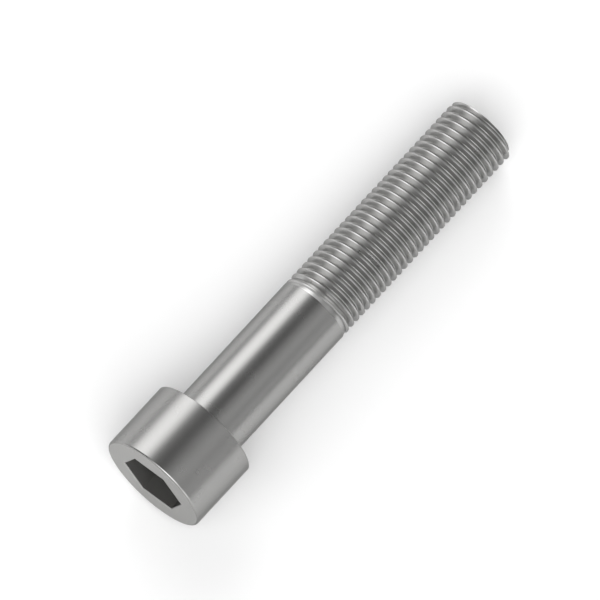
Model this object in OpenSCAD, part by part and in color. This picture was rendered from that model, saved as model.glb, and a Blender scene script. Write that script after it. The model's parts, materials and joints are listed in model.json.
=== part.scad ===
// Socket head cap screw with a plain shank and a part-length fine thread.
// The screw is drawn on its own axis and then laid on its side, on the head's rim and the thread's end.
// The length unit is the millimetre. The ground is the plane z = 0.

/* [Head] */
// Diameter of the cylindrical head
head_d = 18.27; // [15:0.01:26]
// Height of the head, from its top to the bearing face
head_h = 12; // [9:0.5:20]
// Radius of the rounded rim round the top of the head
head_rim_r = 0.3; // [0.1:0.05:1.2]
// Width of the small bevel round the bearing face
bearing_bevel = 0.12; // [0.05:0.01:0.5]

/* [Hexagon socket] */
// Width of the socket across its flats
socket_af = 10; // [5:0.5:13]
// Depth of the socket's flat walls
socket_depth = 6; // [3:0.5:7]
// Depth of the shallow cone below the walls
socket_cone_h = 1.2; // [0.3:0.1:1.8]
// Turn of the socket's first corner about the axis, from straight up, in degrees
socket_turn = 18.5; // [0:0.5:60]

/* [Shank] */
// Length from the bearing face to the tip
shank_length = 65; // [45:1:100]
// Length of plain shank under the head, before the thread begins to run out
plain_length = 25.5; // [8:0.5:40]
// Radius of the fillet between the shank and the bearing face
fillet_r = 0.6; // [0.2:0.1:1.2]

/* [Thread] */
// Diameter of the plain shank, and of the thread's first crests
thread_d = 12; // [9:0.5:13]
// Distance between neighbouring turns
pitch = 1.25; // [0.75:0.05:1.75]
// Slope of the cone on which the thread runs out, against the axis, in degrees
run_out_angle = 17.5; // [10:0.5:30]
// Turn of the thread about the axis, from straight up, in degrees
thread_turn = 82.5; // [0:0.5:360]
// How much less the crests' radius is at the tip than at the plain shank
crest_taper = 0.02; // [0.005:0.005:0.1]
// Width of the bevel at the tip
tip_bevel = 0.35; // [0.1:0.05:0.6]

/* [Hidden] */

thread_r = thread_d / 2;
head_r = head_d / 2;
round_fn = 96;
// How far the fillet's round reaches into the shank
fillet_bite = 0.01;

// The profile is the standard one: flanks at 60 degrees to each other, and a flat crest an eighth of a pitch wide
half_angle = 30;
flank_slope = tan(half_angle);
thread_depth = 0.6134 * pitch;
root_r = thread_r - thread_depth;
crest_width = pitch / 8;
root_half = (pitch - crest_width) / 2 - thread_depth * flank_slope;

// The groove is one helical body, cut from a plain rod. It stands clear of the rod by this much
groove_over = 0.06;
run_out_slope = tan(run_out_angle);
// The groove begins just outside the rod, where the run-out cone leaves it, and ends just past the tip
groove_start = plain_length - root_half - thread_depth * flank_slope
  - groove_over / 2 * (1 / run_out_slope + flank_slope);
groove_end = shank_length + root_half + (thread_depth + 3 * groove_over) * flank_slope;
groove_turns = (groove_end - groove_start) / pitch;
// Few enough steps that a long or very fine thread keeps its facets within bounds
most_steps = 1300;
steps_per_turn = max(12, min(36, floor(most_steps / groove_turns)));
groove_steps = ceil(groove_turns * steps_per_turn);
// The rod is turned by half a step, so that no edge of its own meets a corner of the groove
half_step = 180 / steps_per_turn;

// The rod is straight as far as the plain shank goes, and tapers from just before the groove's first cut
taper_start = plain_length - groove_over / run_out_slope - 0.1;
tip_r = thread_r - crest_taper;

// The angle at which the screw lies: the head's rim and the thread's end both touch the ground
tip_contact = shank_length - tip_bevel;
lie_angle = atan((head_r - tip_r) / (tip_contact + bearing_bevel));
lie_height = head_r * cos(lie_angle) - bearing_bevel * sin(lie_angle);
// The screw's ends, along the ground, and the shift that centres it there
far_x = shank_length * cos(lie_angle) + (tip_r - tip_bevel) * sin(lie_angle);
near_x = -head_h * cos(lie_angle) - (head_r - head_rim_r) * sin(lie_angle);
centre_shift = -(far_x + near_x) / 2;

// Radius of the run-out cone at a distance z from the bearing face
function cone_r(z) = thread_r - (z - plain_length) * run_out_slope;

// Where a flank crosses the run-out cone. The side is -1 for the flank nearer the head and 1 for the other
function flank_at_cone(mid, side) =
  (plain_length * run_out_slope + thread_depth + side * (mid + side * root_half) / flank_slope)
  / (side / flank_slope + run_out_slope);

// One bottom corner of the groove, as [radius, z]: on the root, or on the cone while that stands higher
function bottom_corner(mid, side) =
  let (
    z = flank_at_cone(mid, side),
    r = cone_r(z)
  )
  r < root_r ? [root_r, mid + side * root_half]
  : r < thread_r + groove_over ? [r, z]
  : [thread_r + groove_over, plain_length - groove_over / run_out_slope];

// The groove's section, as four [radius, z] corners round its middle
function groove_section(mid) =
  let (
    near = bottom_corner(mid, -1),
    far = bottom_corner(mid, 1),
    out_r = thread_r + 2 * groove_over,
    rise_near = (out_r - near[0]) * flank_slope,
    rise_far = (out_r - far[0]) * flank_slope
  )
  [[out_r, near[1] - rise_near], near, far, [out_r, far[1] + rise_far]];

// Each section turned into its place on a right-hand helix
function groove_points() = [
  for (i = [0 : groove_steps])
    let (turn = 360 * i / steps_per_turn)
      for (corner = groove_section(groove_start + pitch * i / steps_per_turn))
        [corner[0] * cos(turn), corner[0] * sin(turn), corner[1]]
];

// Two triangles for each side of each step, and a cap at each end
function groove_faces() = concat(
  [[0, 1, 2, 3]],
  [
    for (i = [0 : groove_steps - 1], side = [0 : 3])
      let (
        a = 4 * i + side,
        b = 4 * i + (side + 1) % 4
      )
      each [[a, a + 4, b + 4], [a, b + 4, b]]
  ],
  [[for (corner = [3 : -1 : 0]) 4 * groove_steps + corner]]
);

// The turned head, with its rounded rim at the top and a small bevel round the bearing face
module head() {
  rotate_extrude($fn = round_fn)
    difference() {
      translate([0, -head_h])
        square([head_r, head_h]);
      translate([head_r - head_rim_r, head_rim_r - head_h])
        difference() {
          translate([0, -head_rim_r - 1])
            square([head_rim_r + 1, head_rim_r + 1]);
          circle(r = head_rim_r, $fn = round_fn);
        }
      translate([head_r, 0])
        rotate(45)
          square(bearing_bevel * sqrt(2), center = true);
    }
}

// The rod that the thread is cut in: the plain shank, the stretch for the thread and the bevelled tip
module rod() {
  rotate_extrude($fn = round_fn)
    polygon([
      [0, 0],
      [thread_r, 0],
      [thread_r, taper_start],
      [tip_r, tip_contact],
      [tip_r - tip_bevel, shank_length],
      [0, shank_length]
    ]);
}

// The hollow fillet that joins the shank to the bearing face. It enters the shank at a slight angle
module fillet() {
  rotate_extrude($fn = round_fn)
    difference() {
      square([thread_r + fillet_r - fillet_bite, fillet_r]);
      translate([thread_r + fillet_r - fillet_bite, fillet_r])
        circle(r = fillet_r, $fn = round_fn);
    }
}

// The hexagon, open at the top of the head, with the shallow cone at its bottom
module socket() {
  translate([0, 0, -head_h])
    rotate([0, 0, socket_turn]) {
      translate([0, 0, -1])
        cylinder(d = socket_af / cos(30), h = socket_depth + 1, $fn = 6);
      translate([0, 0, socket_depth - 0.01])
        cylinder(d1 = socket_af, d2 = 0, h = socket_cone_h, $fn = round_fn);
    }
}

module thread_groove() {
  rotate([0, 0, thread_turn])
    polyhedron(groove_points(), groove_faces());
}

// The finished screw on its own axis: the bearing face at z = 0, the tip up.
// Turns about the axis count from +X, which points straight up once the screw lies down
module upright_screw() {
  difference() {
    union() {
      head();
      rotate([0, 0, thread_turn + half_step])
        rod();
      fillet();
    }
    socket();
    thread_groove();
  }
}

// Tips the axis from +Z over to +X, with the tip of the screw down on the ground
module screw() {
  color("silver")
    translate([centre_shift, 0, lie_height])
      rotate([0, 90 + lie_angle, 0])
        rotate([0, 0, 180])
          upright_screw();
}

screw();
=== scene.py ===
"""A socket head cap screw of satin steel, lying on a pale floor in soft studio light.

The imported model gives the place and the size. This file makes the finished surface, with the true
form of the thread and its run-out, the stage and the camera. Lengths are in metres.
"""

import json
import math

import bmesh
import bpy
import numpy as np
from bpy.props import FloatProperty, FloatVectorProperty, IntProperty, PointerProperty
from mathutils import Matrix, Vector


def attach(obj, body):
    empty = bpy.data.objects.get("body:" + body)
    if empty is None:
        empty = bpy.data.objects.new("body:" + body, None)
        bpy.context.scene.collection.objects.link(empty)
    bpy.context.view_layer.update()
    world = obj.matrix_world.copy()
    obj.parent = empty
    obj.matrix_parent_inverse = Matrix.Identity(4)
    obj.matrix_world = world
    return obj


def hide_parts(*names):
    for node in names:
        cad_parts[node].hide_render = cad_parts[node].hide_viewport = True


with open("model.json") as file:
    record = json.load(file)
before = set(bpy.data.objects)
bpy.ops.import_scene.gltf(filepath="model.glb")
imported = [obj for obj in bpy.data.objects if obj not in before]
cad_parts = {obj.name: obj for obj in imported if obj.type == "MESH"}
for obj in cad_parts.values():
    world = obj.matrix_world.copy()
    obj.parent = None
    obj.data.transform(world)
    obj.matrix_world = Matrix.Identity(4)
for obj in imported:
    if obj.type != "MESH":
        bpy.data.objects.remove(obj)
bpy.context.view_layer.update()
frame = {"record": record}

bl_info = {
    "name": "Cap screw dresser",
    "version": (1, 0, 0),
    "blender": (4, 5, 0),
    "location": "View3D > Sidebar > Cap screw",
    "description": "Builds a socket head cap screw with a true thread, its steel and its stage",
    "category": "Add Mesh",
}

MM = 0.001
TURN = 2 * math.pi
MOUNTS = {m["name"]: m for m in frame["record"]["mounts"]}

# The picture is this many pixels wide and high, with this many to a millimetre at the screw
PICTURE_PIXELS = 600
PIXELS_PER_MM = 6.5375
# Where the middle of the bearing face lies in the picture, in pixels from its upper left corner
BEARING_PIXEL = (204.28, 428.54)

# The floor's width, and how far the camera stands back from the screw
FLOOR_SIZE = 6.0
CAMERA_DISTANCE = 0.3

# Half the angle between the flanks of the thread
FLANK_ANGLE = math.radians(30)
# How far the corner between a thread flank and the run-out cone is rounded
RUN_OUT_SOFT = 0.02 * MM
# Radius of the small disc that closes the skin on the axis, at the socket's bottom and at the tip
POLE_RADIUS = 0.02 * MM
# How much the slow noise changes the steel's roughness and its colour, either way
ROUGHNESS_SPREAD = 0.015
TINT_SPREAD = 0.015
# Height of the fine tooling marks at full strength
MARK_HEIGHT = 0.01 * MM
# Corners that turn by more than this stay sharp
SHARP_ANGLE = math.radians(33)
# Points nearer than this are one
WELD = 1e-7

# The studio's soft glows: azimuth from +X, elevation and half-width in degrees, and radiance
GLOWS = (
    # Behind the screw, for the long highlight on the shank and the head
    (54, 33, 30, 2.6), (18, 33, 30, 0.6),
    # Beyond the head, for its face, its rim and the floor
    (180, 60, 32, 1.8), (240, 60, 32, 2.5), (198, 33, 30, 1.5), (234, 33, 30, 0.5),
    # Low down all round, for the sides of the shank and the thread
    (30, 8, 30, 0.7), (90, 8, 30, 0.8), (150, 8, 30, 1.1),
    (240, 8, 30, 1.9), (270, 8, 30, 0.7), (330, 8, 30, 0.3),
    # Weak fill in front and overhead
    (270, 33, 30, 0.3), (306, 33, 30, 0.3), (342, 33, 30, 0.4),
    (60, 60, 32, 0.2), (300, 60, 32, 0.2),
)


class ScrewSizes(bpy.types.PropertyGroup):
    """The sizes of the screw, the same as the solid's."""

    head_diameter: FloatProperty(
        name="Head diameter", description="Across the cylindrical head",
        default=18.27 * MM, subtype="DISTANCE", unit="LENGTH")
    head_height: FloatProperty(
        name="Head height", description="From the top of the head to the bearing face",
        default=12 * MM, subtype="DISTANCE", unit="LENGTH")
    rim_radius: FloatProperty(
        name="Rim radius", description="Rounding of the rim round the top of the head",
        default=0.3 * MM, subtype="DISTANCE", unit="LENGTH")
    bearing_bevel: FloatProperty(
        name="Bearing bevel", description="Bevel round the bearing face",
        default=0.12 * MM, subtype="DISTANCE", unit="LENGTH")
    socket_flats: FloatProperty(
        name="Socket width", description="Across the flats of the hexagon",
        default=10 * MM, subtype="DISTANCE", unit="LENGTH")
    socket_depth: FloatProperty(
        name="Socket depth", description="Depth of the flat walls",
        default=6 * MM, subtype="DISTANCE", unit="LENGTH")
    socket_cone: FloatProperty(
        name="Socket cone", description="Depth of the shallow cone below the walls",
        default=1.2 * MM, subtype="DISTANCE", unit="LENGTH")
    socket_turn: FloatProperty(
        name="Socket turn", description="Turn of the first corner from straight up",
        default=math.radians(18.5), subtype="ANGLE", unit="ROTATION")
    mouth_bevel: FloatProperty(
        name="Mouth bevel", description="Small bevel round the mouth of the socket",
        default=0.1 * MM, subtype="DISTANCE", unit="LENGTH")
    shank_diameter: FloatProperty(
        name="Shank diameter", description="Across the plain shank and the thread's crests",
        default=2 * MOUNTS["shank"]["dims"]["r_mm"] * MM, subtype="DISTANCE", unit="LENGTH")
    shank_length: FloatProperty(
        name="Length", description="From the bearing face to the tip",
        default=65 * MM, subtype="DISTANCE", unit="LENGTH")
    plain_length: FloatProperty(
        name="Plain length", description="From the bearing face to where the thread runs out",
        default=25.5 * MM, subtype="DISTANCE", unit="LENGTH")
    fillet_radius: FloatProperty(
        name="Fillet", description="Hollow fillet between shank and bearing face",
        default=0.6 * MM, subtype="DISTANCE", unit="LENGTH")
    tip_bevel: FloatProperty(
        name="Tip bevel", description="Bevel round the end face",
        default=0.35 * MM, subtype="DISTANCE", unit="LENGTH")


class ThreadShape(bpy.types.PropertyGroup):
    """The form of the thread."""

    pitch: FloatProperty(
        name="Pitch", description="Distance between neighbouring turns",
        default=1.25 * MM, subtype="DISTANCE", unit="LENGTH")
    depth_share: FloatProperty(
        name="Depth", description="Depth of the thread as a share of its pitch",
        default=0.6134, subtype="FACTOR")
    crest_share: FloatProperty(
        name="Crest", description="Width of the crest as a share of the pitch",
        default=0.15, subtype="FACTOR")
    crest_lean: FloatProperty(
        name="Crest lean", description="How much more of the pitch the crest takes towards the tip",
        default=0.03, subtype="FACTOR")
    head_soft: FloatProperty(
        name="Rounding towards the head",
        description="How far the crest's edge towards the head is rounded",
        default=0.01 * MM, subtype="DISTANCE", unit="LENGTH")
    tip_soft: FloatProperty(
        name="Rounding towards the tip",
        description="How far the crest's edge towards the tip is rounded",
        default=0.05 * MM, subtype="DISTANCE", unit="LENGTH")
    root_soft: FloatProperty(
        name="Root rounding", description="How far the bottom of the groove is rounded",
        default=0.04 * MM, subtype="DISTANCE", unit="LENGTH")
    run_out_angle: FloatProperty(
        name="Run-out angle", description="Slope of the cone on which the thread runs out",
        default=math.radians(17.5), subtype="ANGLE", unit="ROTATION")
    lead_in: FloatProperty(
        name="Lead-in", description="From the middle of the groove's first turn to the run-out",
        default=0.6594 * MM, subtype="DISTANCE", unit="LENGTH")
    turn: FloatProperty(
        name="Thread turn", description="Turn of the thread about the axis from straight up",
        default=math.radians(82.5), subtype="ANGLE", unit="ROTATION")
    columns: IntProperty(
        name="Columns", description="Steps round the screw, a multiple of six", default=96, min=24)
    rows: IntProperty(
        name="Rows", description="Steps across each turn of the thread", default=24, min=8)


class SteelFinish(bpy.types.PropertyGroup):
    """The finish of the steel."""

    colour: FloatVectorProperty(
        name="Steel colour", description="Colour of the bare steel",
        default=(0.360, 0.358, 0.352), subtype="COLOR", size=3)
    # The face's colour is painted lighter than the rest of the steel. This is a painted reflection
    # that stands in for the floor beside the head, which the face mirrors and which lies in the
    # screw's shadow.
    face_colour_painted_lighter: FloatVectorProperty(
        name="Face colour", description="Colour of the head's freshly cut face",
        default=(0.540, 0.538, 0.528), subtype="COLOR", size=3)
    # The socket's colour is painted lighter than the rest of the steel. This is painted light that
    # lifts the shade inside the deep recess.
    socket_colour_painted_lighter: FloatVectorProperty(
        name="Socket colour", description="Colour of the forged socket",
        default=(0.400, 0.398, 0.390), subtype="COLOR", size=3)
    # The thread's colour is painted lighter than the rest of the steel. This is painted light that
    # lifts the shade between its turns and flanks.
    thread_colour_painted_lighter: FloatVectorProperty(
        name="Thread colour", description="Colour of the thread, burnished as it was rolled",
        default=(0.470, 0.468, 0.461), subtype="COLOR", size=3)
    roughness: FloatProperty(
        name="Roughness", description="How much the satin surface blurs what it mirrors",
        default=0.27, subtype="FACTOR")
    edge_tint: FloatProperty(
        name="Edge tint", description="How much of a glancing reflection is left",
        default=0.45, subtype="FACTOR")
    grain: FloatProperty(
        name="Grain", description="Strength of the fine tooling marks",
        default=0.05, subtype="FACTOR")


class StageLook(bpy.types.PropertyGroup):
    """The floor, the light and the camera."""

    floor_colour: FloatVectorProperty(
        name="Floor colour", description="Colour of the pale floor",
        default=(0.97, 0.97, 0.97), subtype="COLOR", size=3)
    azimuth: FloatProperty(
        name="Azimuth", description="Camera's turn round the screw; 0 looks along +Y",
        default=math.radians(-49.06), subtype="ANGLE", unit="ROTATION")
    elevation: FloatProperty(
        name="Elevation", description="Camera's height above the horizon",
        default=math.radians(72.95), subtype="ANGLE", unit="ROTATION")
    picture_width: FloatProperty(
        name="Picture width", description="Length that the picture spans",
        default=PICTURE_PIXELS / PIXELS_PER_MM * MM, subtype="DISTANCE", unit="LENGTH")


def axis_frame():
    """The screw's own frame as a 4 by 4 matrix, from the record's bearing face: its third column is
    the axis towards the tip, its first is the radial direction nearest to straight up, and its
    origin is the middle of the bearing face."""
    face = MOUNTS["bearing_face"]
    axis = np.array(face["axis"], float)
    axis /= np.linalg.norm(axis)
    up = np.array([0.0, 0.0, 1.0]) - axis[2] * axis
    up /= np.linalg.norm(up)
    own = np.eye(4)
    own[:3, 0], own[:3, 1], own[:3, 2] = up, np.cross(axis, up), axis
    own[:3, 3] = face["pos_m"]
    return own


def shares(steps, near):
    """Shares from 0 to 1 in equal steps, with one more at a distance near from each end, so that
    the shading bends at the corner and not along the whole stretch."""
    return np.unique(np.concatenate([np.linspace(0.0, 1.0, steps + 1), [near, 1 - near]]))


def line(radius_from, z_from, radius_to, z_to, steps, corner=0.02 * MM, most=0.2):
    """A straight piece of the outline, as radius and z arrays: the start plus shares of the way to
    the end. Its extra points lie at the distance corner from its ends, or at the share most if it
    is short."""
    longer = max(abs(radius_to - radius_from), abs(z_to - z_from))
    way = shares(steps, min(most, corner / longer))
    return radius_from + (radius_to - radius_from) * way, z_from + (z_to - z_from) * way


def arc(radius_mid, z_mid, bend, turn_from, turn_to, steps):
    """A round piece of the outline: the middle plus bend times (cosine, sine) of the turn."""
    turn = np.linspace(turn_from, turn_to, steps + 1)
    return radius_mid + bend * np.cos(turn), z_mid + bend * np.sin(turn)


def hexagon(half_width, turns, first_corner):
    """Radius of a hexagon at each turn: half its width over the cosine of the turn from the middle
    of the nearest flat."""
    sixth = TURN / 6
    from_middle = (turns - first_corner) % sixth - sixth / 2
    return half_width / np.cos(from_middle)


def rounded_above(value, floor, soft):
    """The larger of value and floor, with the corner between them rounded over about soft."""
    gap = value - floor
    return floor + (gap + np.sqrt(gap ** 2 + soft ** 2)) / 2


def rounded_below(value, ceiling, soft):
    """The smaller of value and ceiling, with the corner between them rounded over about soft."""
    return -rounded_above(-value, -ceiling, soft)


def thread_drop(off_crest, shape):
    """How far the thread lies below its crest, at a distance off_crest from the crest's middle,
    towards the tip if positive: nothing on the crest, then down a 30 degree flank on either side
    to the root. Its corners are rounded, most of all the edge towards the tip, as rolling
    leaves it."""
    pitch = shape.pitch
    slope = math.tan(FLANK_ANGLE)
    half = shape.crest_share / 2 * pitch
    lean = shape.crest_lean * pitch
    to_head = rounded_above((-off_crest - half) / slope, 0.0, shape.head_soft)
    to_tip = rounded_above((off_crest - half - lean) / slope, 0.0, shape.tip_soft)
    return rounded_below(to_head + to_tip, shape.depth_share * pitch, shape.root_soft)


def profile_places(shape, samples=4001, bend_unit=math.radians(40)):
    """Places across one turn of the thread, as shares of the pitch from -0.5 to 0.5. Their steps are
    even in the profile's length plus its bend, length / pitch + bend / bend_unit, so that the
    rounded corners get most of them and the flats between stay flat."""
    share = np.linspace(-0.5, 0.5, samples)
    drop = thread_drop(share * shape.pitch, shape)
    length = np.hypot(np.diff(share) * shape.pitch, np.diff(drop)) / shape.pitch
    slope = np.arctan(np.diff(drop) / (np.diff(share) * shape.pitch))
    bend = np.abs(np.diff(slope, append=slope[:1])) / bend_unit
    way = np.concatenate([[0], np.cumsum(length + bend)])
    return np.interp(np.linspace(0, way[-1], shape.rows + 1)[:-1], way, share)


def thread_grid(sizes, shape, turns):
    """The threaded length as radius and z grids. Rows run along the helix, z = pitch times
    (row's place + turn), and are held between the plain shank and the tip, so that the rows
    before the first turn and after the last shrink to a ring. The radius is the larger of thread
    and run-out cone, and is held below the tip's bevel."""
    pitch, radius = shape.pitch, sizes.shank_diameter / 2
    first, last = sizes.plain_length, sizes.shank_length
    depth = shape.depth_share * pitch
    middle = first - shape.lead_in
    places = profile_places(shape)
    spare_turns = 4
    count = int((last - first) / pitch) + spare_turns
    rows = (np.arange(count)[:, None] + places[None, :]).ravel()
    crest = middle + pitch / 2
    z = crest + pitch * (rows[:, None] - 1 + ((turns - shape.turn) / TURN)[None, :])
    z = np.vstack([np.full_like(turns, first), np.clip(z, first, last), np.full_like(turns, last)])
    off = (z - crest) / pitch - (turns - shape.turn)[None, :] / TURN
    off = (off - np.round(off)) * pitch
    thread = radius - thread_drop(off, shape)
    cone = radius - (z - first) * math.tan(shape.run_out_angle)
    # Past one and a half depths the cone lies well below the root, and plays no part
    near_cone = cone > radius - 1.5 * depth
    r = np.where(near_cone, rounded_above(thread, cone, RUN_OUT_SOFT), thread)
    r = np.minimum(r, radius)
    r = np.minimum(r, radius - (z - last + sizes.tip_bevel))
    return r, z


def screw_grid(sizes, shape):
    """The whole skin as one grid of points: each row is a ring round the axis, from the bottom of
    the socket over the head and down the shank to the tip. Returns points and the rows where the
    head's face, its side, the thread and the tip start."""
    turns = sizes.socket_turn + TURN * np.arange(shape.columns) / shape.columns
    ones = np.ones_like(turns)
    head, shank, top = sizes.head_diameter / 2, sizes.shank_diameter / 2, -sizes.head_height
    rim, fillet, bevel, mouth = (
        sizes.rim_radius, sizes.fillet_radius, sizes.bearing_bevel, sizes.mouth_bevel)
    wall = hexagon(sizes.socket_flats / 2, turns, sizes.socket_turn)
    lip = hexagon(sizes.socket_flats / 2 + mouth, turns, sizes.socket_turn)
    bottom = top + sizes.socket_depth
    cone_r, cone_z = line(
        POLE_RADIUS, bottom + sizes.socket_cone, sizes.socket_flats / 2, bottom, 6)
    rings = []

    def turned(radius, z):
        rings.append((radius[:, None] * ones, z[:, None] * ones))

    def between(inner, outer, z_in, z_out, steps):
        way = shares(steps, 0.03)[:, None]
        rings.append((inner + (outer - inner) * way, z_in + (z_out - z_in) * way * ones))

    turned(cone_r, cone_z)
    between(sizes.socket_flats / 2 * ones, wall, bottom, bottom, 1)
    between(wall, wall, bottom, top + mouth, 8)
    between(wall, lip, top + mouth, top, 1)
    zone_face = sum(len(r) for r, _ in rings)
    between(lip, (head - rim) * ones, top, top, 8)
    zone_side = sum(len(r) for r, _ in rings)
    turned(*arc(head - rim, top + rim, rim, -math.pi / 2, 0, 8))
    turned(*line(head, top + rim, head, -bevel, 8))
    turned(*line(head, -bevel, head - bevel, 0.0, 1))
    turned(*line(head - bevel, 0.0, shank + fillet, 0.0, 4))
    turned(*arc(shank + fillet, fillet, fillet, -math.pi / 2, -math.pi, 8))
    turned(*line(shank, fillet, shank, sizes.plain_length, 12))
    zone_thread = sum(len(r) for r, _ in rings)
    rings.append(thread_grid(sizes, shape, turns))
    zone_tip = sum(len(r) for r, _ in rings)
    edge = rings[-1][0][-1]
    between(edge, POLE_RADIUS * ones, sizes.shank_length, sizes.shank_length, 8)
    r = np.vstack([r for r, _ in rings])
    z = np.vstack([z for _, z in rings])
    points = np.stack([r * np.cos(turns), r * np.sin(turns), z], axis=-1)
    return points, (zone_face, zone_side, zone_thread, zone_tip)


def grid_faces(rows, columns, thread_rows, lead):
    """Quads between neighbouring rings, closed round, as an array of four corners a face. In the
    thread, a row that comes round to the first column meets the row that lies lead rows on."""
    row = np.arange(rows)
    start, end = thread_rows
    ahead = np.where((row >= start) & (row < end), np.minimum(row + lead, end - 1), row)
    corner = row[:, None] * columns + np.arange(columns + 1)[None, :]
    corner[:, -1] = ahead * columns
    return np.stack(
        [corner[:-1, :-1], corner[:-1, 1:], corner[1:, 1:], corner[1:, :-1]], -1).reshape(-1, 4)


def mesh_from_grid(name, points, zones, lead, own):
    """A mesh object of the grid, put in its place by the matrix own, its poles closed, its doubled
    points merged, and its sharp corners kept. Each zone has its own material."""
    rows, columns = points.shape[:2]
    flat = points.reshape(-1, 3) @ own[:3, :3].T + own[:3, 3]
    faces = grid_faces(rows, columns, zones[2:], lead)
    zone = np.searchsorted(zones, np.arange(rows - 1), side="right")
    zone[zones[3]:] = 2
    mesh = bpy.data.meshes.new(name)
    mesh.from_pydata(flat.tolist(), [], faces.tolist())
    mesh.polygons.foreach_set("material_index", np.repeat(zone, columns).astype(np.int32))
    work = bmesh.new()
    work.from_mesh(mesh)
    work.verts.ensure_lookup_table()
    first = [work.verts[i] for i in range(columns)]
    last = [work.verts[(rows - 1) * columns + i] for i in range(columns)]
    work.faces.new(first)
    work.faces.new(last).material_index = 2
    bmesh.ops.remove_doubles(work, verts=work.verts, dist=WELD)
    bmesh.ops.dissolve_degenerate(work, edges=work.edges, dist=WELD / 10)
    bmesh.ops.triangulate(work, faces=[f for f in work.faces if len(f.verts) > 4])
    bmesh.ops.recalc_face_normals(work, faces=work.faces)
    work.to_mesh(mesh)
    work.free()
    mesh.polygons.foreach_set("use_smooth", np.ones(len(mesh.polygons), bool))
    mesh.set_sharp_from_angle(angle=SHARP_ANGLE)
    mesh.update()
    piece = bpy.data.objects.new(name, mesh)
    bpy.context.scene.collection.objects.link(piece)
    return piece


def own_coordinates(nodes, links, own):
    """Object coordinates turned into the screw's own frame: across the axis, and along it."""
    place = nodes.new("ShaderNodeTexCoord")
    turn = nodes.new("ShaderNodeMapping")
    turn.vector_type = "TEXTURE"
    turn.inputs["Location"].default_value = Vector(own[:3, 3])
    turn.inputs["Rotation"].default_value = Matrix(own[:3, :3].tolist()).to_euler()
    links.new(place.outputs["Object"], turn.inputs["Vector"])
    return turn.outputs["Vector"]


def round_the_axis(nodes, links, vector):
    """A vector of the distance from the axis and the place along it, which is the same all round."""
    split = nodes.new("ShaderNodeSeparateXYZ")
    links.new(vector, split.inputs["Vector"])
    across = nodes.new("ShaderNodeCombineXYZ")
    links.new(split.outputs["X"], across.inputs["X"])
    links.new(split.outputs["Y"], across.inputs["Y"])
    radius = nodes.new("ShaderNodeVectorMath")
    radius.operation = "LENGTH"
    links.new(across.outputs["Vector"], radius.inputs[0])
    rings = nodes.new("ShaderNodeCombineXYZ")
    links.new(radius.outputs["Value"], rings.inputs["X"])
    links.new(split.outputs["Z"], rings.inputs["Y"])
    return rings.outputs["Vector"]


def noise(nodes, links, vector, scale, detail):
    """A noise of the vector, from 0 to 1, with scale grains to a metre."""
    grains = nodes.new("ShaderNodeTexNoise")
    grains.inputs["Scale"].default_value = scale
    grains.inputs["Detail"].default_value = detail
    links.new(vector, grains.inputs["Vector"])
    return grains.outputs["Fac"]


def mixed_colour(nodes, links, share, colour, low, high):
    """The colour times low where share is 0, and times high where it is 1."""
    tint = nodes.new("ShaderNodeMixRGB")
    tint.inputs["Color1"].default_value = (*[c * low for c in colour], 1)
    tint.inputs["Color2"].default_value = (*[c * high for c in colour], 1)
    links.new(share, tint.inputs["Fac"])
    return tint.outputs["Color"]


def steel_material(name, colour, edge_tint, own, roughness, marks):
    """Bare steel. Fine marks run round the axis, as a lathe or a die leaves them: a noise of the
    distance from the axis and of the place along it. A slower noise varies roughness and colour."""
    material = bpy.data.materials.new(name)
    material.use_nodes = True
    nodes, links = material.node_tree.nodes, material.node_tree.links
    shader = nodes["Principled BSDF"]
    shader.inputs["Metallic"].default_value = 1.0
    shader.inputs["Specular Tint"].default_value = (edge_tint, edge_tint, edge_tint, 1)
    vector = own_coordinates(nodes, links, own)
    cloud = noise(nodes, links, vector, 260.0, 4.0)
    fine = noise(nodes, links, round_the_axis(nodes, links, vector), 9000.0, 3.0)

    rough = nodes.new("ShaderNodeMapRange")
    rough.inputs["To Min"].default_value = roughness - ROUGHNESS_SPREAD
    rough.inputs["To Max"].default_value = roughness + ROUGHNESS_SPREAD
    links.new(cloud, rough.inputs["Value"])
    links.new(rough.outputs["Result"], shader.inputs["Roughness"])

    base = mixed_colour(nodes, links, cloud, colour, 1 - TINT_SPREAD, 1 + TINT_SPREAD)
    links.new(base, shader.inputs["Base Color"])

    bump = nodes.new("ShaderNodeBump")
    bump.inputs["Strength"].default_value = marks
    bump.inputs["Distance"].default_value = MARK_HEIGHT
    links.new(fine, bump.inputs["Height"])
    links.new(bump.outputs["Normal"], shader.inputs["Normal"])
    return material


def floor_material(look):
    """A matt pale floor with a barely visible unevenness."""
    material = bpy.data.materials.new("pale_floor")
    material.use_nodes = True
    nodes, links = material.node_tree.nodes, material.node_tree.links
    shader = nodes["Principled BSDF"]
    shader.inputs["Roughness"].default_value = 0.9
    shader.inputs["Specular IOR Level"].default_value = 0.1
    place = nodes.new("ShaderNodeTexCoord")
    cloud = noise(nodes, links, place.outputs["Object"], 40.0, 2.0)
    base = mixed_colour(nodes, links, cloud, look.floor_colour, 0.99, 1.0)
    links.new(base, shader.inputs["Base Color"])
    return material


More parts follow.
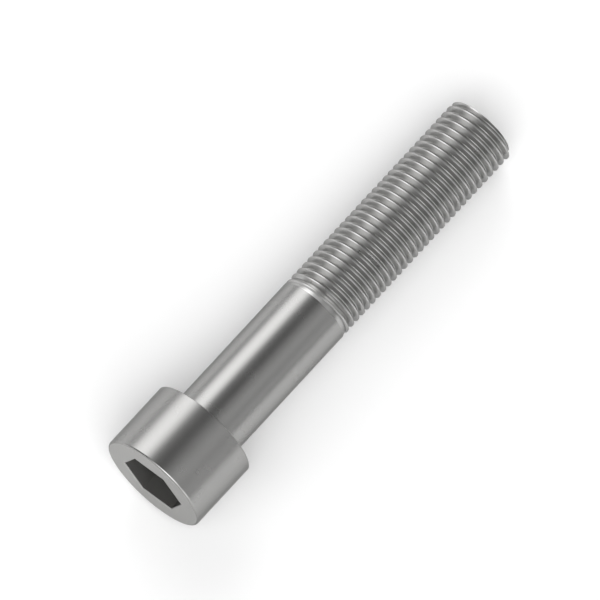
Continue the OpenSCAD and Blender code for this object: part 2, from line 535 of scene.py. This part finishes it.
def studio_light(glows, below=-0.1):
    """The studio all round the stage, as a sum of broad soft glows far off. Each is its radiance
    times a smooth step of the cosine of the angle from its middle: nothing at its half-width, all
    of it at its middle. Below the horizon the pale ground goes on past the floor's edge: its
    radiance rises in a straight step, to all of it where the direction's height is below."""
    world = bpy.data.worlds.new("studio")
    bpy.context.scene.world = world
    world.use_nodes = True
    nodes, links = world.node_tree.nodes, world.node_tree.links
    place = nodes.new("ShaderNodeTexCoord")
    height = nodes.new("ShaderNodeSeparateXYZ")
    links.new(place.outputs["Generated"], height.inputs["Vector"])
    ground = nodes.new("ShaderNodeMapRange")
    ground.inputs["From Max"].default_value = below
    links.new(height.outputs["Z"], ground.inputs["Value"])
    total = ground.outputs["Result"]
    for azimuth, elevation, half_width, radiance in glows:
        turn, rise = math.radians(azimuth), math.radians(elevation)
        near = nodes.new("ShaderNodeVectorMath")
        near.operation = "DOT_PRODUCT"
        near.inputs[1].default_value = (
            math.cos(rise) * math.cos(turn), math.cos(rise) * math.sin(turn), math.sin(rise))
        links.new(place.outputs["Generated"], near.inputs[0])
        glow = nodes.new("ShaderNodeMapRange")
        glow.interpolation_type = "SMOOTHERSTEP"
        glow.inputs["From Min"].default_value = math.cos(math.radians(half_width))
        glow.inputs["To Max"].default_value = radiance
        links.new(near.outputs["Value"], glow.inputs["Value"])
        both = nodes.new("ShaderNodeMath")
        links.new(total, both.inputs[0])
        links.new(glow.outputs["Result"], both.inputs[1])
        total = both.outputs["Value"]
    links.new(total, nodes["Background"].inputs["Strength"])
    nodes["Background"].inputs["Color"].default_value = (1, 1, 1, 1)


def camera_directions(azimuth, elevation):
    """The camera's right, up and backward directions. Azimuth 0 looks along +Y."""
    right = Vector((math.cos(azimuth), math.sin(azimuth), 0))
    back = Vector((
        math.sin(azimuth) * math.cos(elevation),
        -math.cos(azimuth) * math.cos(elevation),
        math.sin(elevation)))
    return right, back.cross(right), back


# The four finishes, from the socket to the thread: name, the colour it takes from the steel's finish,
# what is added to the roughness,
# and how strong the marks are. The socket's, the face's and the thread's colours are painted lighter
# than the satin steel's:
# painted light against the shade in the socket and between the thread's turns, and a painted
# reflection of the floor in the face.
FINISHES = (
    ("forged_socket", "socket_colour_painted_lighter", 0.08, 1.5),
    ("cut_face", "face_colour_painted_lighter", 0.05, 0.6),
    ("satin_steel", "colour", 0.0, 1.0),
    ("rolled_thread", "thread_colour_painted_lighter", 0.01, 0.6),
)


class CAPSCREW_OT_build_screw(bpy.types.Operator):
    """Build the screw's finished skin and its steel"""

    bl_idname = "capscrew.build_screw"
    bl_label = "Build the screw"

    def execute(self, context):
        scene = context.scene
        own = axis_frame()
        points, zones = screw_grid(scene.screw_sizes, scene.thread_shape)
        piece = mesh_from_grid("steel_screw", points, zones, scene.thread_shape.rows, own)
        finish = scene.steel_finish
        for name, colour, added, marks in FINISHES:
            piece.data.materials.append(steel_material(
                name, getattr(finish, colour), finish.edge_tint, own,
                finish.roughness + added, finish.grain * marks))
        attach(piece, "root")
        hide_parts("screw")
        return {"FINISHED"}


class CAPSCREW_OT_set_stage(bpy.types.Operator):
    """Lay the floor, light the studio and set up the camera"""

    bl_idname = "capscrew.set_stage"
    bl_label = "Set the stage"

    def execute(self, context):
        scene = context.scene
        look = scene.stage_look
        bpy.ops.mesh.primitive_plane_add(size=FLOOR_SIZE)
        floor = context.object
        floor.name = "floor"
        floor.data.materials.append(floor_material(look))
        studio_light(GLOWS)

        right, up, back = camera_directions(look.azimuth, look.elevation)
        camera = bpy.data.objects.new("camera", bpy.data.cameras.new("camera"))
        scene.collection.objects.link(camera)
        camera.data.type = "ORTHO"
        camera.data.ortho_scale = look.picture_width
        scale = look.picture_width / PICTURE_PIXELS
        across = BEARING_PIXEL[0] - PICTURE_PIXELS / 2
        above = PICTURE_PIXELS / 2 - BEARING_PIXEL[1]
        middle = Vector(MOUNTS["bearing_face"]["pos_m"]) - right * across * scale - up * above * scale
        turned = Matrix((right, up, back)).transposed().to_4x4()
        camera.matrix_world = Matrix.Translation(middle + back * CAMERA_DISTANCE) @ turned
        scene.camera = camera
        scene.view_settings.view_transform = "Standard"
        scene.view_settings.look = "None"
        return {"FINISHED"}


class CAPSCREW_PT_panel(bpy.types.Panel):
    """The screw's sizes, its finish and the two steps that build it"""

    bl_label = "Cap screw"
    bl_idname = "CAPSCREW_PT_panel"
    bl_space_type = "VIEW_3D"
    bl_region_type = "UI"
    bl_category = "Cap screw"

    def draw(self, context):
        layout = self.layout
        for group in ("screw_sizes", "thread_shape", "steel_finish", "stage_look"):
            settings = getattr(context.scene, group)
            box = layout.box()
            for key in settings.__annotations__:
                box.prop(settings, key)
        layout.operator(CAPSCREW_OT_build_screw.bl_idname)
        layout.operator(CAPSCREW_OT_set_stage.bl_idname)


CLASSES = (
    ScrewSizes, ThreadShape, SteelFinish, StageLook,
    CAPSCREW_OT_build_screw, CAPSCREW_OT_set_stage, CAPSCREW_PT_panel)
GROUPS = {
    "screw_sizes": ScrewSizes, "thread_shape": ThreadShape,
    "steel_finish": SteelFinish, "stage_look": StageLook}


def register():
    for cls in CLASSES:
        bpy.utils.register_class(cls)
    for name, group in GROUPS.items():
        setattr(bpy.types.Scene, name, PointerProperty(type=group))


def unregister():
    for name in GROUPS:
        delattr(bpy.types.Scene, name)
    for cls in reversed(CLASSES):
        bpy.utils.unregister_class(cls)


def main():
    """Builds everything."""
    register()
    bpy.ops.capscrew.build_screw()
    bpy.ops.capscrew.set_stage()


if __name__ == "__main__":
    main()
